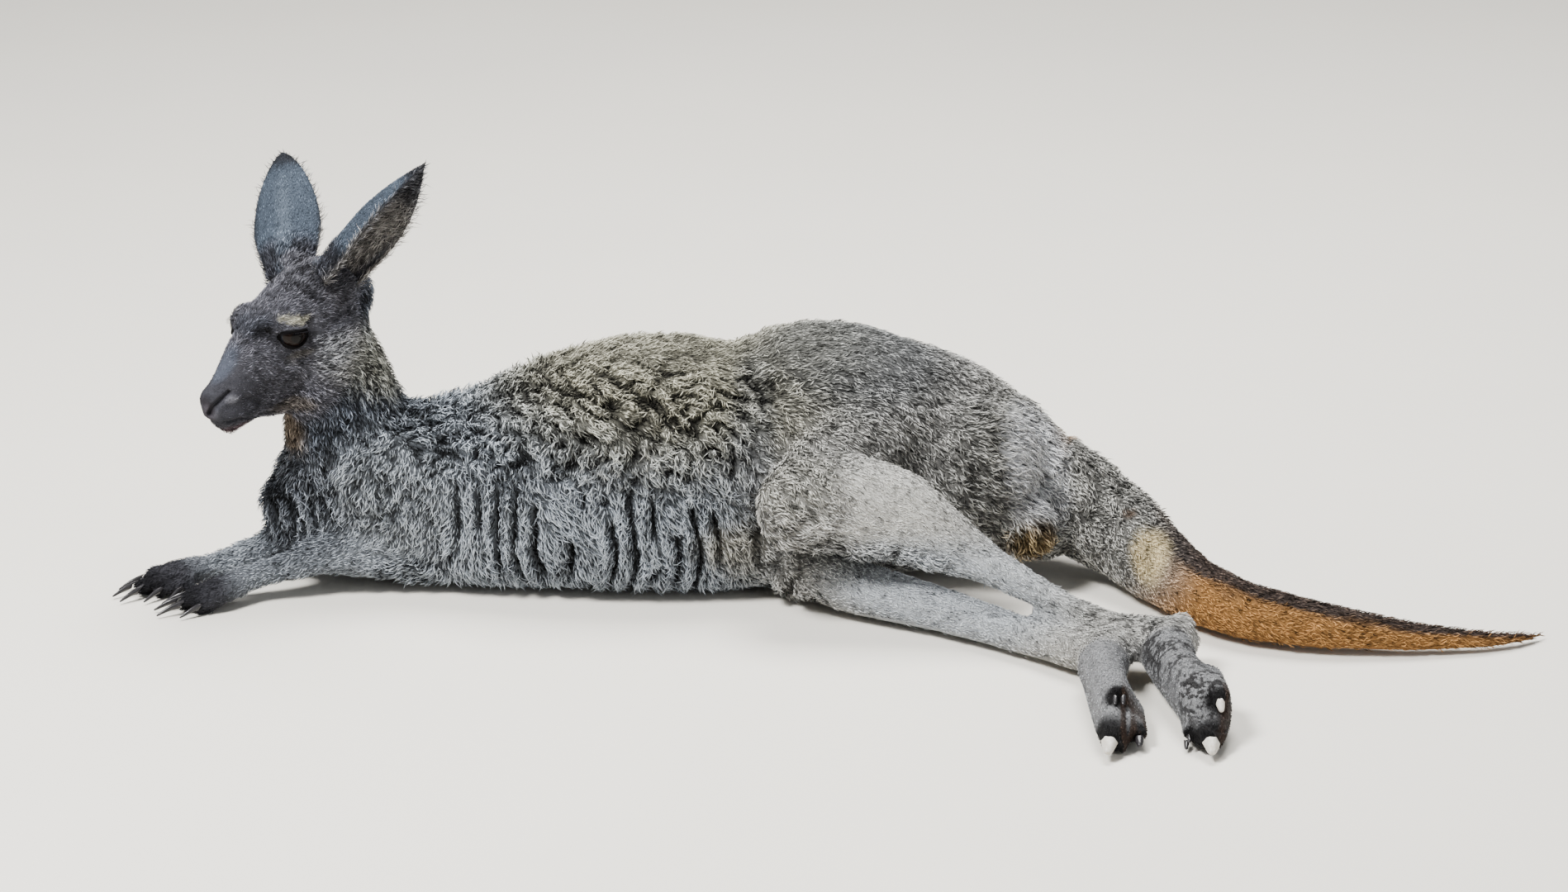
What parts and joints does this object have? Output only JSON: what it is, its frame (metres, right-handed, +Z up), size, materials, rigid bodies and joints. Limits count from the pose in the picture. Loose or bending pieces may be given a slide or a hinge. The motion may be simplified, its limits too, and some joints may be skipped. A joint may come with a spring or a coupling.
{
  "type": "grey kangaroo",
  "caption": "Life-size still model of a grey kangaroo resting on its side, head raised, forelegs stretched forward, hind legs and tail swept back.",
  "frame": {"origin": "floor level, under the middle of the bounding box", "axes": "+Z up; the body runs along X with the head toward -X and the tail toward +X; the animal's left side, with the feet, faces -Y"},
  "size_m": [1.46, 0.6726, 0.4543],
  "materials": {
    "fur_flank": "dense wavy silver-grey wool",
    "horn_dark": "smooth dark horn",
    "horn_pale": "smooth pale horn",
    "fur_ear": "short slate grey fur",
    "eye_dark": "wet glossy dark brown cornea",
    "fur_foot": "short grey-brown fur",
    "fur_foreleg": "short speckled silver-grey fur",
    "hand_skin": "near-black short-haired skin",
    "fur_head": "short dark mauve-grey fur",
    "fur_neck": "dense blue-grey wool with light tips",
    "nose_skin": "damp bare grey skin",
    "fur_rump": "dense grey-beige wool",
    "fur_shank": "short pale grey fur",
    "fur_tail": "short fur, tawny on the sides and charcoal along the top"
  },
  "bodies": {
    "root": {"abdomen": "fur_flank", "chest": "fur_flank", "claw_left_finger_1": "horn_dark", "claw_left_finger_2": "horn_dark", "claw_left_finger_3": "horn_dark", "claw_left_finger_4": "horn_dark", "claw_left_finger_5": "horn_dark", "claw_left_toe_2": "horn_dark", "claw_left_toe_3": "horn_dark", "claw_left_toe_4": "horn_pale", "claw_left_toe_5": "horn_pale", "claw_right_finger_1": "horn_dark", "claw_right_finger_2": "horn_dark", "claw_right_finger_3": "horn_dark", "claw_right_finger_4": "horn_dark", "claw_right_finger_5": "horn_dark", "claw_right_toe_2": "horn_dark", "claw_right_toe_3": "horn_dark", "claw_right_toe_4": "horn_pale", "claw_right_toe_5": "horn_dark", "ear_left": "fur_ear", "ear_right": "fur_ear", "eye_left": "eye_dark", "eye_right": "eye_dark", "foot_left": "fur_foot", "foot_right": "fur_foot", "forearm_left": "fur_foreleg", "forearm_right": "fur_foreleg", "hand_left": "hand_skin", "hand_right": "hand_skin", "head": "fur_head", "neck": "fur_neck", "nose": "nose_skin", "pelvis": "fur_rump", "shank_left": "fur_shank", "shank_right": "fur_shank", "tail_middle": "fur_tail", "tail_root": "fur_tail", "tail_tip": "fur_tail", "tail_upper": "fur_tail", "thigh_left": "fur_rump", "thigh_right": "fur_rump", "upper_arm_left": "fur_foreleg", "upper_arm_right": "fur_foreleg"}
  },
  "joints": []
}
